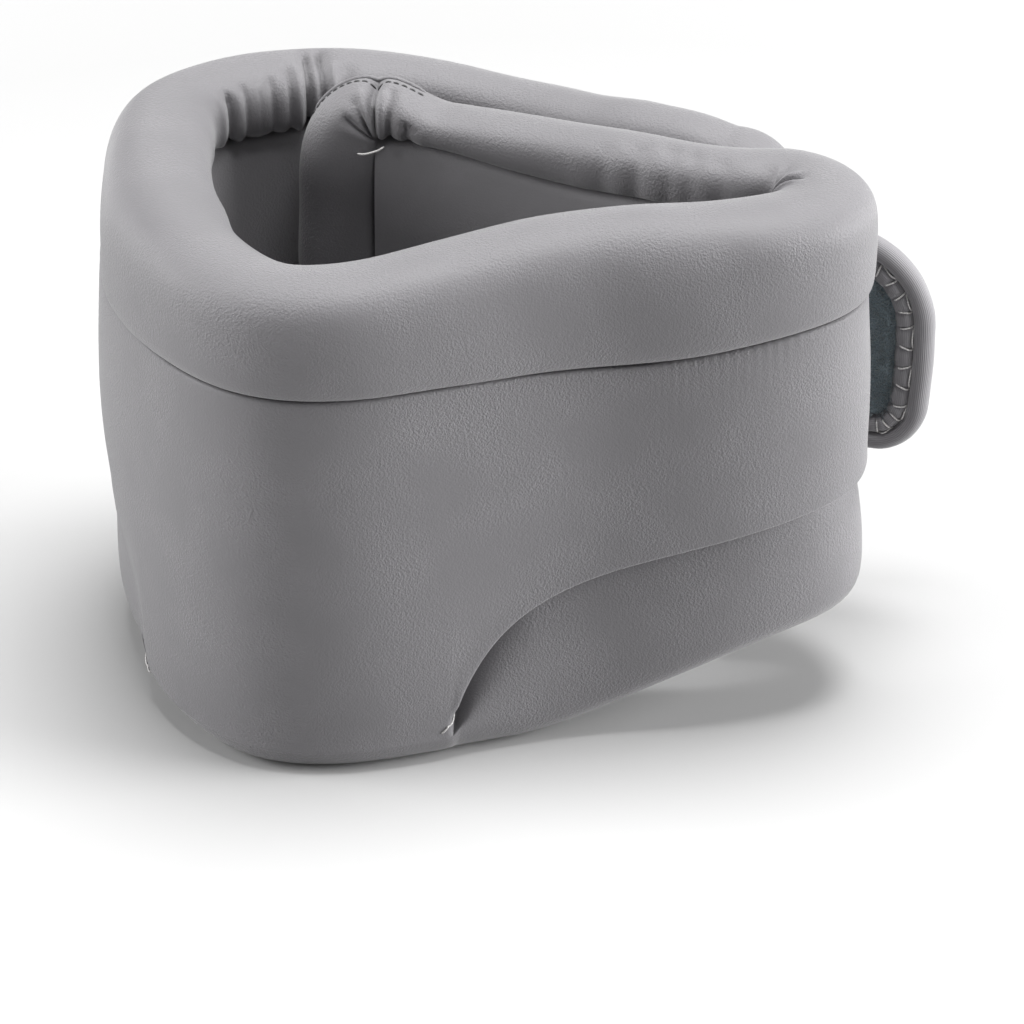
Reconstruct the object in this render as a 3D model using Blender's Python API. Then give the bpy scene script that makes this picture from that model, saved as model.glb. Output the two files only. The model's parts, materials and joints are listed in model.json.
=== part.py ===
"""Soft foam cervical collar, closed, standing on its front tongue and its wings.

The collar is one padded strip bent round into a closed loop.  A thick round
roll runs along its whole top edge, a flat padded panel hangs below the roll,
and a lower roll runs along the bottom edge on each side of the rounded tongue
at the centre front.  The wings overlap at the back, the left one outside, and
the left wing carries the closure tab that grips a hook band on the right wing.

Everything is worked out along the strip's centre line: "s" is the distance
along it from the centre front, plus to the right wing and minus to the left,
"n" is the distance outward from it and "z" is the height.  Sizes are in
millimetres and turn into metres where the meshes are made.
+Z is up and +X is the long way of the closed collar, towards the tab.
"""

import math

import bpy
import numpy as np

MM = 0.001
GAP = 0.3
SKIN = 1.2
FOAM_GAP = 0.6

# Plan of the centre line: left wing tip, round the back and left side to the
# centre front, along the right side, the tight right bend and the right wing.
CENTRE_FRONT = (0.0, 0.0)
LEFT_ARM = [(123.0, 65.0), (115.0, 67.5), (91.0, 75.5), (65.0, 89.0), (33.0, 102.0),
            (0.0, 102.5), (-27.0, 86.0), (-31.0, 52.5), (-20.0, 20.5)]
RIGHT_SIDE = [(36.0, 5.5), (70.0, 15.0)]
BEND_CENTRE = (108.5, 34.5)
BEND_RADIUS = 13.0
BEND_ANGLES = (-78.0, -30.0, 18.0, 66.0, 100.0)
RIGHT_WING = [(84.0, 55.5), (58.0, 68.5), (35.0, 78.5), (13.0, 83.5), (-1.0, 85.0)]

# Lengths along the strip
LEFT_TIP, RIGHT_TIP = 258.5, 265.0
END_ROLL = 19.0
TONGUE_HALF = 43.0
SEAM_START = 33.0
WING_SEAM = 40.0
LEFT_BEND_AT = -112.0
RIGHT_BEND_AT = 160.0

# Half thicknesses of the top roll, the panel and the lower roll, front and wings
ROLL_FRONT, ROLL_WING = 12.7, 9.2
PANEL_FRONT, PANEL_WING = 11.0, 8.2
LOWER_FRONT, LOWER_WING = 11.5, 9.0
THINNING = (120.0, 165.0)
NOTCH = 1.0
PANEL_DOME = 1.6
INNER_SEAM_DROP = 3.2
REST_HALF_WIDTH = 4.0
LEFT_CORNER_LIFT = 4.0

# Closure tab
TAB_LENGTH = 27.0
TAB_WIDTH = 56.0
TAB_MIDDLE = 67.0
TAB_LOWER_CORNER, TAB_UPPER_CORNER = 11.0, 17.0
TAB_INNER_FACE = ROLL_WING + 0.4
TAB_THICKNESS = 4.4
TAB_BINDING = 8.3
ANCHOR_LENGTH = 15.0
THREAD = 0.35

# Hook band on the outside of the right wing
BAND_START, BAND_END = 175.0, 238.0
BAND_WIDTH = 50.0
BAND_THICKNESS = 1.3
BAND_SEAM_INSET = 5.0

COLOURS = {
    "leather": (0.42, 0.41, 0.43),
    "lining": (0.38, 0.37, 0.39),
    "foam": (0.80, 0.78, 0.70),
    "knit": (0.62, 0.60, 0.66),
    "hook": (0.33, 0.40, 0.45),
    "loop": (0.30, 0.37, 0.42),
    "thread": (0.72, 0.71, 0.74),
}


def ease(value, start, end):
    """0 before start, 1 after end, smooth between."""
    t = min(max((value - start) / (end - start), 0.0), 1.0)
    return t * t * (3.0 - 2.0 * t)


def spline(knots, values, at):
    """Natural cubic spline through the values at the knots."""
    step = np.diff(knots)
    count = len(knots)
    system = np.eye(count)
    slopes = np.diff(values) / step
    right = np.zeros(count)
    for i in range(1, count - 1):
        system[i, i - 1:i + 2] = step[i - 1], 2.0 * (step[i - 1] + step[i]), step[i]
        right[i] = 6.0 * (slopes[i] - slopes[i - 1])
    bend = np.linalg.solve(system, right)
    i = np.clip(np.searchsorted(knots, at) - 1, 0, count - 2)
    before = at - knots[i]
    after = knots[i + 1] - at
    cubic = (bend[i] * after ** 3 + bend[i + 1] * before ** 3) / (6.0 * step[i])
    start = (values[i] / step[i] - bend[i] * step[i] / 6.0) * after
    end = (values[i + 1] / step[i] - bend[i + 1] * step[i] / 6.0) * before
    return cubic + start + end


def plan_curve():
    """Arc length, x and y of the centre line, closely spaced, s = 0 at the centre front."""
    arc = []
    for angle in BEND_ANGLES:
        a = math.radians(angle)
        arc.append((BEND_CENTRE[0] + BEND_RADIUS * math.cos(a),
                    BEND_CENTRE[1] + BEND_RADIUS * math.sin(a)))
    points = np.array(LEFT_ARM + [CENTRE_FRONT] + RIGHT_SIDE + arc + RIGHT_WING)
    knots = np.concatenate([[0.0], np.cumsum(np.hypot(*np.diff(points, axis=0).T))])
    fine = np.linspace(0.0, knots[-1], 4001)
    x = spline(knots, points[:, 0], fine)
    y = spline(knots, points[:, 1], fine)
    length = np.concatenate([[0.0], np.cumsum(np.hypot(np.diff(x), np.diff(y)))])
    front = np.interp(knots[len(LEFT_ARM)], fine, length)
    return length - front, x, y


CURVE_S, CURVE_X, CURVE_Y = plan_curve()


def place(s, n, z):
    """World point, in millimetres, of a point of the strip."""
    step = 0.5
    x = np.interp(s, CURVE_S, CURVE_X)
    y = np.interp(s, CURVE_S, CURVE_Y)
    dx = np.interp(s + step, CURVE_S, CURVE_X) - np.interp(s - step, CURVE_S, CURVE_X)
    dy = np.interp(s + step, CURVE_S, CURVE_Y) - np.interp(s - step, CURVE_S, CURVE_Y)
    length = math.hypot(dx, dy)
    return (x + n * dy / length, y - n * dx / length, z)


def top(s):
    """Crest of the top roll: dips for the chin, falls to the wing tips, more on the left."""
    fall = 3.0 if s > 0.0 else 8.0
    return 120.0 + 7.0 * ease(abs(s), 0, 90) - fall * ease(abs(s), 150, 256)


def upper_seam(s):
    return 94.5 + 6.5 * ease(abs(s), 75, 135) - 4.0 * ease(abs(s), 150, 220)


def inner_seam(s):
    return top(s) - roll_half(s) - INNER_SEAM_DROP


def lower_seam(s):
    """Rises steeply from the side of the tongue, then gently, and drops again on the wings."""
    away = max(abs(s) - SEAM_START, 0.0)
    high = 33.0 * (1.0 - math.exp(-away / 10.0)) + 0.24 * away
    return high + (WING_SEAM - high) * ease(abs(s), 130, 185)


def bottom(s):
    """Bottom edge: on the table at the tongue and wings, arched over the shoulders."""
    arch = 23.0 * ease(abs(s), 50, 130) * (1.0 - ease(abs(s), 130, 190))
    return max(arch, LEFT_CORNER_LIFT * ease(-s, 0, 36) * (1.0 - ease(-s, 130, 190)))


def roll_half(s):
    return ROLL_FRONT + (ROLL_WING - ROLL_FRONT) * ease(abs(s), *THINNING)


def panel_half(s):
    return PANEL_FRONT + (PANEL_WING - PANEL_FRONT) * ease(abs(s), *THINNING)


def lower_half(s):
    return LOWER_FRONT + (LOWER_WING - LOWER_FRONT) * ease(abs(s), *THINNING)


def inset(points, distance):
    """An open outline moved to its left, which is into the solid."""
    points = np.array(points, float)
    edges = np.diff(points, axis=0)
    edges /= np.linalg.norm(edges, axis=1)[:, None]
    before = np.vstack([edges[:1], edges])
    after = np.vstack([edges, edges[-1:]])
    along = before + after
    along /= np.linalg.norm(along, axis=1)[:, None]
    left = np.column_stack([-along[:, 1], along[:, 0]])
    stretch = 1.0 / np.clip((along * before).sum(axis=1), 0.6, 1.0)
    return points + left * (distance * stretch)[:, None]


def top_roll_outline(s):
    """From the outer seam over the crest to the inner seam."""
    half = roll_half(s)
    seam = panel_half(s) - NOTCH
    centre = top(s) - half
    points = [(seam, upper_seam(s)), (half - 0.6, upper_seam(s) + 5.0)]
    for angle in range(0, 181, 30):
        a = math.radians(angle)
        points.append((half * math.cos(a), centre + half * math.sin(a)))
    points.append((-seam, inner_seam(s)))
    return points


def lower_roll_outline(s):
    """From the inner seam down round the bottom edge to the outer seam."""
    half = lower_half(s)
    seam = panel_half(s) - NOTCH
    high, low = lower_seam(s), bottom(s)
    shoulder = min(6.0, (high - low) / 3.0)
    corner = min(half, (high - low) / 2.0)
    side = [(seam, high), (half, high - shoulder), (half, low + corner),
            (half - 0.4 * corner, low + 0.3 * corner), (0.35 * half, low)]
    return [(-n, z) for n, z in side] + side[::-1]


def outer_panel_outline(s):
    """Outer face of the panel, from its lower seam up to the upper seam."""
    low, high = lower_seam(s) + GAP, upper_seam(s) - GAP
    half = panel_half(s)
    return [(half - NOTCH, low), (half - NOTCH + PANEL_DOME, (low + high) / 2.0),
            (half - NOTCH, high)]


def lining_outline(s):
    """Inner face of the panel, from the inner seam down to the lower seam."""
    low, high = lower_seam(s) + GAP, inner_seam(s) - GAP
    half = panel_half(s)
    return [(-half + NOTCH, high), (-half + NOTCH - PANEL_DOME, (low + high) / 2.0),
            (-half + NOTCH, low)]


def tongue_outer_outline(s):
    """Outer leather of the tongue: under the bottom edge and up the front."""
    half = panel_half(s)
    rest = REST_HALF_WIDTH
    low = bottom(s)
    return [(-rest, low), (rest, low), (half - 2.5, low + 4.0), (half, 14.0),
            (half + 0.4, 50.0), (half - NOTCH, upper_seam(s) - GAP)]


def tongue_lining_outline(s):
    """Lining of the tongue: down the inside to the edge of the outer leather."""
    half = panel_half(s)
    rest = REST_HALF_WIDTH
    low = bottom(s)
    return [(-half + NOTCH, inner_seam(s) - GAP), (-half - 0.4, 50.0), (-half, 14.0),
            (-half + 2.5, low + 4.0), (-rest - 1.5, low + 1.0)]


def skin(outline):
    """Closed section of the leather that lies on an outline."""
    return lambda s: list(outline(s)) + list(inset(outline(s), SKIN))[::-1]


def core(outline):
    """Closed section of the foam inside an outline."""
    return lambda s: list(inset(outline(s), SKIN + FOAM_GAP))


def panel_core(s):
    """Foam of the panel, clear of both rolls."""
    outer = inset(outer_panel_outline(s), SKIN + FOAM_GAP)
    inner = inset(lining_outline(s), SKIN + FOAM_GAP)
    return list(outer) + list(inner)


def tongue_core(s):
    """Foam of the tongue, clear of the leather under it."""
    outer = inset(tongue_outer_outline(s), SKIN + FOAM_GAP)
    inner = inset(tongue_lining_outline(s), SKIN + FOAM_GAP)
    return list(outer) + list(inner[:-1])


def lower_core(s):
    """Foam of the lower roll, a little below the panel's foam."""
    points = inset(lower_roll_outline(s), SKIN + FOAM_GAP)
    points[0][1] -= GAP
    points[-1][1] -= GAP
    return list(points)


def band_section(s):
    """Hook band lying on the domed panel of the right wing."""
    low, high = outer_panel_outline(s)[0][1], outer_panel_outline(s)[2][1]
    middle = (low + high) / 2.0

    def on_panel(z):
        away = (z - middle) / ((high - low) / 2.0)
        return panel_half(s) - NOTCH + PANEL_DOME * (1.0 - abs(away)) + GAP
    heights = [TAB_MIDDLE - BAND_WIDTH / 2.0, middle, TAB_MIDDLE + BAND_WIDTH / 2.0]
    back = [(on_panel(z), z) for z in heights]
    face = [(on_panel(z) + BAND_THICKNESS, z) for z in heights]
    return face + back[::-1]


def band_stitch_section(z):
    """One row of stitching standing just off the hook band."""
    def section(s):
        low = max(n for n, _ in band_section(s)) + GAP
        high = low + 2.0 * THREAD
        return [(low, z - THREAD), (high, z - THREAD), (high, z + THREAD), (low, z + THREAD)]
    return section


class Body:
    """A rigid length of the collar and the hinge line it turns on."""

    def __init__(self, name, parent, pivot):
        self.name = name
        self.parent = parent
        self.pivot = pivot
        self.parts = []


def outer_line(s):
    """Vertical hinge line on the outermost surface at a place along the strip."""
    return place(s, roll_half(s), 0.0)


def strip(body, name, material, section, start, end, count, layer=True):
    """Sweep a closed section along the strip; a layer is a thin section, face then back."""
    stations = np.linspace(start, end, count)
    verts, faces = [], []
    for s in stations:
        ring = section(s)
        verts += [place(s, n, z) for n, z in ring]
    size = len(section(stations[0]))
    for i in range(count - 1):
        for j in range(size):
            k = (j + 1) % size
            a, b = i * size, (i + 1) * size
            faces.append((a + j, b + j, b + k, a + k))
    last = (count - 1) * size
    if layer:
        for j in range(size // 2 - 1):
            quad = (j, j + 1, size - 2 - j, size - 1 - j)
            faces.append(quad)
            faces.append(tuple(last + k for k in reversed(quad)))
    else:
        faces.append(tuple(range(size)))
        faces.append(tuple(last + k for k in reversed(range(size))))
    body.parts.append((name, material, verts, faces))


def add_length(body, start, end, count, tongue=False):
    """All the layers of one length of the collar."""
    foams = [("_top_roll_core", core(top_roll_outline))]
    skins = [("_top_roll_cover", "leather", skin(top_roll_outline))]
    if tongue:
        foams += [("_panel_core", tongue_core)]
        skins += [("_outer_panel", "leather", skin(tongue_outer_outline)),
                  ("_lining", "lining", skin(tongue_lining_outline))]
    else:
        foams += [("_panel_core", panel_core), ("_lower_roll_core", lower_core)]
        skins += [("_outer_panel", "leather", skin(outer_panel_outline)),
                  ("_lining", "lining", skin(lining_outline)),
                  ("_lower_roll_cover", "leather", skin(lower_roll_outline))]
    for name, section in foams:
        strip(body, body.name + name, "foam", section, start, end, count, layer=False)
    for name, material, section in skins:
        strip(body, body.name + name, material, section, start, end, count)


def end_shell(side, shrink):
    """Grid of the padded wing end, levels by points round the tip, shrunk by a thickness."""
    tip = RIGHT_TIP if side > 0 else LEFT_TIP
    root = tip - END_ROLL + 0.4
    high = top(side * tip) - 1.0 - shrink
    low = bottom(tip) + shrink
    half = ROLL_WING - 0.4 - shrink
    reach = END_ROLL - 0.4 - shrink
    levels = [(low, 5.0), (low + 3.0, 1.6), (low + 9.0, 0.0),
              (high - 9.0, 0.0), (high - 3.0, 1.6), (high, 5.0)]
    grid = []
    for z, taper in levels:
        width, length = half - taper, reach - taper
        row = [(root, width, z)]
        for angle in range(60, -61, -30):
            a = math.radians(angle)
            row.append((root + length - width + width * math.cos(a), width * math.sin(a), z))
        row.append((root, -width, z))
        grid.append([place(side * s, n, z) for s, n, z in row])
    return grid


def shell_faces(grid, first):
    """Walls and end caps of an end shell, open on the side towards the wing."""
    wide = len(grid[0])
    faces = []
    for i in range(len(grid) - 1):
        for j in range(wide - 1):
            a = first + i * wide + j
            faces.append((a, a + 1, a + wide + 1, a + wide))
    faces.append(tuple(first + j for j in reversed(range(wide))))
    top_row = first + (len(grid) - 1) * wide
    faces.append(tuple(top_row + j for j in range(wide)))
    return faces


def add_wing_end(body, side):
    """Vertical padded roll that finishes a wing: foam core and leather cap."""
    foam = end_shell(side, SKIN + FOAM_GAP)
    outer, inner = end_shell(side, 0.0), end_shell(side, SKIN)
    wide, tall = len(outer[0]), len(outer)
    rim = [j * wide for j in range(tall)] + [j * wide + wide - 1 for j in reversed(range(tall))]
    faces = shell_faces(foam, 0)
    faces.append(tuple(rim))
    body.parts.append((body.name + "_end_core", "foam", sum(foam, []), faces))
    count = wide * tall
    faces = shell_faces(outer, 0)
    faces += [tuple(reversed(face)) for face in shell_faces(inner, count)]
    for i, a in enumerate(rim):
        b = rim[(i + 1) % len(rim)]
        faces.append((a, b, b + count, a + count))
    body.parts.append((body.name + "_end_cover", "leather", sum(outer + inner, []), faces))


def tab_point(a, n, z):
    """World point of the tab: a runs straight on from the left wing's tip."""
    tip = -LEFT_TIP
    x0, y0, _ = place(tip, 0.0, 0.0)
    x1, y1, _ = place(tip, 1.0, 0.0)
    out = (x1 - x0, y1 - y0)
    along = (-out[1], out[0])
    if along[0] < 0.0:
        along = (out[1], -out[0])
    return (x0 + a * along[0] + n * out[0], y0 + a * along[1] + n * out[1], z)


def tab_outline(inset_by, root):
    """Half-rounded tab outline from the root's lower corner round to its upper corner."""
    half = TAB_WIDTH / 2.0 - inset_by
    reach = TAB_LENGTH - inset_by
    points = [(root, TAB_MIDDLE - half)]
    for z_side, corner in ((-1.0, TAB_LOWER_CORNER), (1.0, TAB_UPPER_CORNER)):
        corner = max(corner - inset_by, 3.0)
        for step in range(5):
            turn = math.radians(22.5 * (step if z_side < 0.0 else 4 - step))
            points.append((reach - corner + corner * math.sin(turn),
                           TAB_MIDDLE + z_side * (half - corner + corner * math.cos(turn))))
    points.append((root, TAB_MIDDLE + half))
    return points


def plate(body, name, material, outline, n_low, n_high):
    """A flat plate of the tab between two distances from the strip."""
    count = len(outline)
    verts = [tab_point(a, n_low, z) for a, z in outline]
    verts += [tab_point(a, n_high, z) for a, z in outline]
    faces = [tuple(reversed(range(count))), tuple(range(count, 2 * count))]
    for i in range(count):
        j = (i + 1) % count
        faces.append((i, j, j + count, i + count))
    body.parts.append((name, material, verts, faces))


def tab_frame(body, name, material, n_low, n_high):
    """The binding round the tab's three free edges, with eased edges."""
    ease_by = 1.2
    rings = [(0.0, n_low + ease_by), (0.0, n_high - ease_by), (ease_by, n_high),
             (TAB_BINDING, n_high), (TAB_BINDING, n_low), (ease_by, n_low)]
    lines = [tab_outline(inset_by, 1.0) for inset_by, _ in rings]
    count, size = len(lines[0]), len(rings)
    verts = []
    for i in range(count):
        for line, (_, n) in zip(lines, rings):
            verts.append(tab_point(line[i][0], n, line[i][1]))
    faces = [tuple(range(size)), tuple((count - 1) * size + k for k in reversed(range(size)))]
    for i in range(count - 1):
        for j in range(size):
            k = (j + 1) % size
            a, b = i * size, (i + 1) * size
            faces.append((a + j, b + j, b + k, a + k))
    body.parts.append((name, material, verts, faces))


def thread(body, name, points, n):
    """A square thread laid through points of the tab's plane."""
    verts, faces = [], []
    points = np.array(points, float)
    for i, (a, z) in enumerate(points):
        along = points[min(i + 1, len(points) - 1)] - points[max(i - 1, 0)]
        across = np.array([-along[1], along[0]]) / np.hypot(*along) * THREAD
        low, high = (a - across[0], z - across[1]), (a + across[0], z + across[1])
        verts += [tab_point(low[0], n - THREAD, low[1]), tab_point(high[0], n - THREAD, high[1]),
                  tab_point(high[0], n + THREAD, high[1]), tab_point(low[0], n + THREAD, low[1])]
    for i in range(len(points) - 1):
        for j in range(4):
            k = (j + 1) % 4
            faces.append((i * 4 + j, i * 4 + k, i * 4 + 4 + k, i * 4 + 4 + j))
    last = (len(points) - 1) * 4
    faces += [(3, 2, 1, 0), (last, last + 1, last + 2, last + 3)]
    body.parts.append((name, "thread", verts, faces))


def zigzag_round_tab():
    """Points of the zigzag stitch that follows the binding's inner edge."""
    near = tab_outline(TAB_BINDING - 3.0, 3.0)
    far = tab_outline(TAB_BINDING + 0.5, 3.0)
    points = []
    for line_near, line_far, next_near, next_far in zip(near, far, near[1:], far[1:]):
        length = math.hypot(next_near[0] - line_near[0], next_near[1] - line_near[1])
        steps = max(1, round(length / 4.0))
        for i in range(steps):
            t, u = i / steps, (i + 0.5) / steps
            points.append([p + (q - p) * t for p, q in zip(line_near, next_near)])
            points.append([p + (q - p) * u for p, q in zip(line_far, next_far)])
    points.append(near[-1])
    return points


def zigzag_line(a, half_height, width):
    """Points of an upright zigzag."""
    heights = np.linspace(TAB_MIDDLE - half_height, TAB_MIDDLE + half_height, 17)
    return [(a + (width if i % 2 else -width), z) for i, z in enumerate(heights)]


def add_tab(tab, wing):
    """The closure tab and the short tail that is sewn to the left wing."""
    inner, outer = TAB_INNER_FACE, TAB_INNER_FACE + TAB_THICKNESS
    tab_frame(tab, "tab_knit_binding", "knit", inner, outer)
    inside = tab_outline(TAB_BINDING + GAP, 1.0)
    plate(tab, "tab_backing", "knit", inside, inner + 1.6, outer - 0.8)
    plate(tab, "tab_loop_patch", "loop", inside, inner + GAP, inner + 1.3)
    thread(tab, "tab_zigzag_thread", zigzag_round_tab(), inner - GAP - THREAD)
    half = TAB_WIDTH / 2.0 - 4.0
    tail = [(-ANCHOR_LENGTH, TAB_MIDDLE - half), (0.4, TAB_MIDDLE - half),
            (0.4, TAB_MIDDLE + half), (-ANCHOR_LENGTH, TAB_MIDDLE + half)]
    plate(wing, "tab_anchor_tail", "knit", tail, inner, inner + 2.0)
    stitches = zigzag_line(-ANCHOR_LENGTH / 2.0, half - 2.0, 2.0)
    thread(wing, "tab_anchor_thread", stitches, inner + 2.0 + GAP + THREAD)


def build_bodies():
    """Every body of the collar with its parts."""
    front = Body("front", None, CENTRE_FRONT + (0.0,))
    left_side = Body("left_side", front, outer_line(-TONGUE_HALF))
    left_wing = Body("left_wing", left_side, outer_line(LEFT_BEND_AT))
    right_side = Body("right_side", front, outer_line(TONGUE_HALF))
    right_wing = Body("right_wing", right_side, outer_line(RIGHT_BEND_AT))
    middle = TAB_INNER_FACE + TAB_THICKNESS / 2.0
    tab = Body("closure_tab", left_wing, tab_point(0.7, middle, 0.0))
    half_cut = GAP / 2.0
    add_length(front, -TONGUE_HALF + half_cut, TONGUE_HALF - half_cut, 13, tongue=True)
    add_length(left_side, LEFT_BEND_AT + half_cut, -TONGUE_HALF - half_cut, 10)
    add_length(left_wing, END_ROLL - LEFT_TIP, LEFT_BEND_AT - half_cut, 14)
    add_length(right_side, TONGUE_HALF + half_cut, RIGHT_BEND_AT - half_cut, 23)
    add_length(right_wing, RIGHT_BEND_AT + half_cut, RIGHT_TIP - END_ROLL, 10)
    add_wing_end(left_wing, -1)
    add_wing_end(right_wing, 1)
    strip(right_wing, "hook_band", "hook", band_section, BAND_START, BAND_END, 11)
    for row, side in (("upper", 1.0), ("lower", -1.0)):
        z = TAB_MIDDLE + side * (BAND_WIDTH / 2.0 - BAND_SEAM_INSET)
        strip(right_wing, "hook_band_" + row + "_stitching", "thread",
              band_stitch_section(z), BAND_START + 2.0, BAND_END - 2.0, 11, layer=False)
    add_tab(tab, left_wing)
    return [front, left_side, left_wing, right_side, right_wing, tab]


def clear_scene():
    for item in list(bpy.data.objects):
        bpy.data.objects.remove(item, do_unlink=True)


def material(node_name, kind):
    """A plain Principled material of the node's own."""
    made = bpy.data.materials.new(node_name + "_material")
    made.use_nodes = True
    shader = made.node_tree.nodes["Principled BSDF"]
    shader.inputs["Base Color"].default_value = COLOURS[kind] + (1.0,)
    shader.inputs["Roughness"].default_value = 0.9 if kind == "foam" else 0.6
    return made


def make_object(part, pivot, parent):
    """Turn one part into a mesh object that hangs on its body's hinge."""
    name, kind, verts, faces = part
    mesh = bpy.data.meshes.new(name)
    local = [tuple((v - p) * MM for v, p in zip(vert, pivot)) for vert in verts]
    mesh.from_pydata(local, [], faces)
    mesh.validate()
    face_out(mesh)
    mesh.materials.append(material(name, kind))
    made = bpy.data.objects.new(name, mesh)
    bpy.context.collection.objects.link(made)
    made.parent = parent
    round_piece = not name.startswith("tab_")
    for polygon in mesh.polygons:
        polygon.use_smooth = round_piece and len(polygon.vertices) == 4


def face_out(mesh):
    """Flip the faces if the closed mesh encloses a negative volume."""
    mesh.calc_loop_triangles()
    volume = 0.0
    for triangle in mesh.loop_triangles:
        a, b, c = (mesh.vertices[i].co for i in triangle.vertices)
        volume += a.dot(b.cross(c))
    if volume < 0.0:
        mesh.flip_normals()


def build():
    clear_scene()
    bodies = build_bodies()
    points = np.array([vert for body in bodies for part in body.parts for vert in part[2]])
    low, high = points.min(axis=0), points.max(axis=0)
    shift = ((low[0] + high[0]) / 2.0, (low[1] + high[1]) / 2.0, low[2])
    hinges = {}
    for body in bodies:
        hinge = bpy.data.objects.new(body.name + "_hinge", None)
        bpy.context.collection.objects.link(hinge)
        origin = body.parent.pivot if body.parent else shift
        hinge.location = tuple((p - o) * MM for p, o in zip(body.pivot, origin))
        hinge.parent = hinges[body.parent.name] if body.parent else None
        hinges[body.name] = hinge
        for part in body.parts:
            make_object(part, body.pivot, hinge)


build()
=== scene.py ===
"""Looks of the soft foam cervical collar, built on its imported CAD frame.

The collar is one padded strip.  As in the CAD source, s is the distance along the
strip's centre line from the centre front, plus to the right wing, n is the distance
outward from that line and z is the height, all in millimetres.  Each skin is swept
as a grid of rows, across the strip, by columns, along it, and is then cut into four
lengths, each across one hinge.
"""

import json
import math

import bpy
import numpy as np
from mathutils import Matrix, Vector


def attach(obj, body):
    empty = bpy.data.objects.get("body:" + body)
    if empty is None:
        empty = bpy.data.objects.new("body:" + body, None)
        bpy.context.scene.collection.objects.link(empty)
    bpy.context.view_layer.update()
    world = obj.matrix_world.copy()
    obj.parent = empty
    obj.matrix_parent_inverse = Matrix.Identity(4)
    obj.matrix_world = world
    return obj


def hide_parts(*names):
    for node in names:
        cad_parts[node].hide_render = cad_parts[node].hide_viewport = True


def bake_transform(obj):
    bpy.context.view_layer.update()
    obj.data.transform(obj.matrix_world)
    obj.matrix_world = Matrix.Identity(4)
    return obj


MM = 0.001

# Plan of the centre line, and the strip's lengths and half thicknesses, as in the CAD source.
# END_STAND, LEFT_CORNER_LIFT, CORNER_NARROWING, TAB_SLANT and the tab's two corner radii
# are the fabric's own shape, a few millimetres from the CAD's.
CENTRE_FRONT = (0.0, 0.0)
LEFT_ARM = [(123.0, 65.0), (115.0, 67.5), (91.0, 75.5), (65.0, 89.0), (33.0, 102.0),
            (0.0, 102.5), (-27.0, 86.0), (-31.0, 52.5), (-20.0, 20.5)]
RIGHT_SIDE = [(36.0, 5.5), (70.0, 15.0)]
BEND_CENTRE = (108.5, 34.5)
BEND_RADIUS = 13.0
BEND_ANGLES = (-78.0, -30.0, 18.0, 66.0, 100.0)
RIGHT_WING = [(84.0, 55.5), (58.0, 68.5), (35.0, 78.5), (13.0, 83.5), (-1.0, 85.0)]
LEFT_TIP, RIGHT_TIP = 258.5, 265.0
END_ROLL = 19.0
END_STAND = 1.3
TONGUE_HALF = 43.0
SEAM_START = 33.0
WING_SEAM = 40.0
ROLL_FRONT, ROLL_WING = 12.7, 9.2
PANEL_FRONT, PANEL_WING = 11.0, 8.2
LOWER_FRONT, LOWER_WING = 11.5, 9.0
THINNING = (120.0, 165.0)
LEFT_CORNER_LIFT = 5.5
INNER_SEAM_DROP = 3.2
CORNER_NARROWING = 5.5
TAB_LENGTH = 27.0
TAB_WIDTH = 56.0
TAB_MIDDLE = 67.0
TAB_LOWER_CORNER, TAB_UPPER_CORNER = 12.5, 23.0
TAB_SLANT = 1.6
TAB_THICKNESS = 4.4
TAB_BINDING = 8.3
TAB_INNER_FACE = ROLL_WING + 0.4
ANCHOR_LENGTH = 15.0
BAND_START, BAND_END = 175.0, 238.0
BAND_WIDTH = 50.0

COLUMN_PITCH = 0.7
ROLL_ROWS, PANEL_ROWS, LINING_ROWS = 113, 73, 57
SOFT_WIDTH = 2.0


def ease(value, start, end):
    """0 before start, 1 after end, smooth between."""
    t = np.clip((value - start) / (end - start), 0.0, 1.0)
    return t * t * (3.0 - 2.0 * t)


# ---------------------------------------------------------------- the strip's shape


def spline(knots, values, at):
    """Natural cubic spline through the values at the knots."""
    step = np.diff(knots)
    count = len(knots)
    system = np.eye(count)
    slopes = np.diff(values) / step
    right = np.zeros(count)
    for i in range(1, count - 1):
        system[i, i - 1:i + 2] = step[i - 1], 2.0 * (step[i - 1] + step[i]), step[i]
        right[i] = 6.0 * (slopes[i] - slopes[i - 1])
    bend = np.linalg.solve(system, right)
    i = np.clip(np.searchsorted(knots, at) - 1, 0, count - 2)
    before = at - knots[i]
    after = knots[i + 1] - at
    cubic = (bend[i] * after ** 3 + bend[i + 1] * before ** 3) / (6.0 * step[i])
    start = (values[i] / step[i] - bend[i] * step[i] / 6.0) * after
    end = (values[i + 1] / step[i] - bend[i + 1] * step[i] / 6.0) * before
    return cubic + start + end


def plan_curve():
    """Distance, x, y and unit direction along the centre line, 0 at the centre front."""
    arc = []
    for angle in BEND_ANGLES:
        a = math.radians(angle)
        arc.append((BEND_CENTRE[0] + BEND_RADIUS * math.cos(a),
                    BEND_CENTRE[1] + BEND_RADIUS * math.sin(a)))
    points = np.array(LEFT_ARM + [CENTRE_FRONT] + RIGHT_SIDE + arc + RIGHT_WING)
    knots = np.concatenate([[0.0], np.cumsum(np.hypot(*np.diff(points, axis=0).T))])
    fine = np.linspace(0.0, knots[-1], 4001)
    x = spline(knots, points[:, 0], fine)
    y = spline(knots, points[:, 1], fine)
    length = np.concatenate([[0.0], np.cumsum(np.hypot(np.diff(x), np.diff(y)))])
    front = np.interp(knots[len(LEFT_ARM)], fine, length)
    return length - front, x, y, np.gradient(x, length), np.gradient(y, length)


CURVE = plan_curve()


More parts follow.
